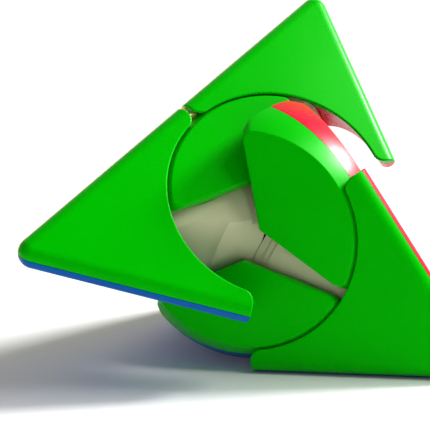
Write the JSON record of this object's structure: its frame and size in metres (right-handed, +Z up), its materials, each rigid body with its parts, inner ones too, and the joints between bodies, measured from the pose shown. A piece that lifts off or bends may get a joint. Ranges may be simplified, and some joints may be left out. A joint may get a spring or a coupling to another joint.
{
  "type": "pyramid twisty puzzle",
  "caption": "Tetrahedral twisty puzzle in green, red, blue and yellow, part-turned about one corner so that grey inner stalks and a round ball core of edge pieces show.",
  "frame": {"origin": "on the table, under the middle of the bounding box of the part-turned puzzle", "axes": "+Z up as the puzzle stands on its right corner's lower edge and its rear corner's tip; +X along that lower edge towards the right corner; -Y towards the viewer, which the turned half's green face meets square on"},
  "size_m": [0.088, 0.0888, 0.0829],
  "materials": {
    "green_plastic": "smooth moulded",
    "red_plastic": "smooth moulded",
    "blue_plastic": "smooth moulded",
    "yellow_plastic": "smooth moulded",
    "grey_plastic": "satin moulded",
    "core_plastic": "satin moulded",
    "steel": "plated"
  },
  "bodies": {
    "base_half": {"core": "core_plastic", "left_blue_cap": "blue_plastic", "left_green_cap": "green_plastic", "left_screw": "steel", "left_spring": "steel", "left_stalk": "grey_plastic", "left_washer": "steel", "left_yellow_cap": "yellow_plastic", "rear_blue_cap": "blue_plastic", "rear_left_edge_blue_tile": "blue_plastic", "rear_left_edge_foot": "grey_plastic", "rear_left_edge_yellow_tile": "yellow_plastic", "rear_red_cap": "red_plastic", "rear_screw": "steel", "rear_spring": "steel", "rear_stalk": "grey_plastic", "rear_top_edge_foot": "grey_plastic", "rear_top_edge_red_tile": "red_plastic", "rear_top_edge_yellow_tile": "yellow_plastic", "rear_washer": "steel", "rear_yellow_cap": "yellow_plastic", "right_screw": "steel", "right_spring": "steel", "right_washer": "steel", "top_green_cap": "green_plastic", "top_red_cap": "red_plastic", "top_screw": "steel", "top_spring": "steel", "top_stalk": "grey_plastic", "top_washer": "steel", "top_yellow_cap": "yellow_plastic", "upper_left_edge_foot": "grey_plastic", "upper_left_edge_green_tile": "green_plastic", "upper_left_edge_yellow_tile": "yellow_plastic"},
    "turned_half": {"bottom_edge_blue_tile": "blue_plastic", "bottom_edge_foot": "grey_plastic", "bottom_edge_green_tile": "green_plastic", "rear_right_edge_blue_tile": "blue_plastic", "rear_right_edge_foot": "grey_plastic", "rear_right_edge_red_tile": "red_plastic", "right_blue_cap": "blue_plastic", "right_green_cap": "green_plastic", "right_red_cap": "red_plastic", "right_stalk": "grey_plastic", "upper_right_edge_foot": "grey_plastic", "upper_right_edge_green_tile": "green_plastic", "upper_right_edge_red_tile": "red_plastic"}
  },
  "joints": [
    {"name": "right_corner_turn", "type": "hinge", "parent": "base_half", "child": "turned_half", "pos_m": [-0.00336, -0.00218, 0.02889], "axis": [0.8165, -0.3283, -0.4749], "continuous": true}
  ]
}
